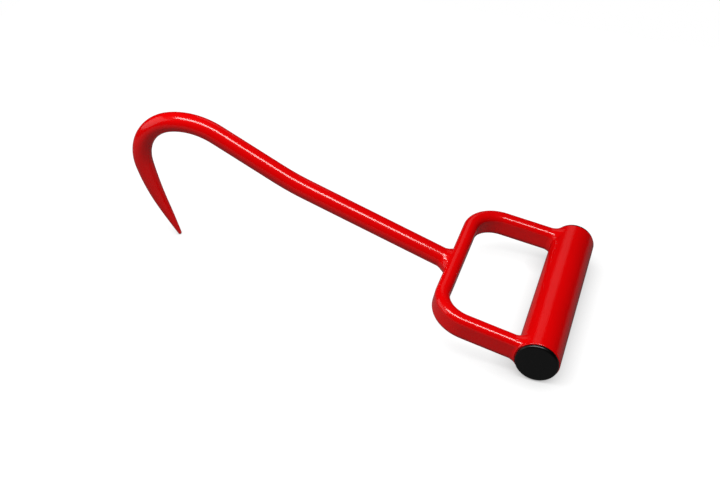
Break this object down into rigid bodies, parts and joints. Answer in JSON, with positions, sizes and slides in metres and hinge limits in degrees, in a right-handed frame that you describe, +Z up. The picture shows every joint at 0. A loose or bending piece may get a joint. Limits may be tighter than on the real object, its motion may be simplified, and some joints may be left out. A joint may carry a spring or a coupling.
{
  "type": "hay hook",
  "caption": "Bale hook with a bent round bar ending in a blunt point, welded to a U-shaped yoke that carries a straight pipe grip with plastic end plugs.",
  "frame": {"origin": "on the surface that the tool lies on, under the middle of the whole tool's box", "axes": "+Z up from that surface; the hook lies towards -X and the grip towards +X, with the grip's axis along Y, so the left end plug is at -Y"},
  "size_m": [0.2944, 0.1274, 0.0942],
  "materials": {
    "red_powder_coat": "gloss powder coat",
    "black_plastic": "satin"
  },
  "bodies": {
    "root": {"hook_rod": "red_powder_coat", "yoke": "red_powder_coat", "grip_tube": "red_powder_coat", "root_weld": "red_powder_coat", "left_arm_weld": "red_powder_coat", "right_arm_weld": "red_powder_coat", "left_end_plug": "black_plastic", "right_end_plug": "black_plastic"}
  },
  "joints": []
}
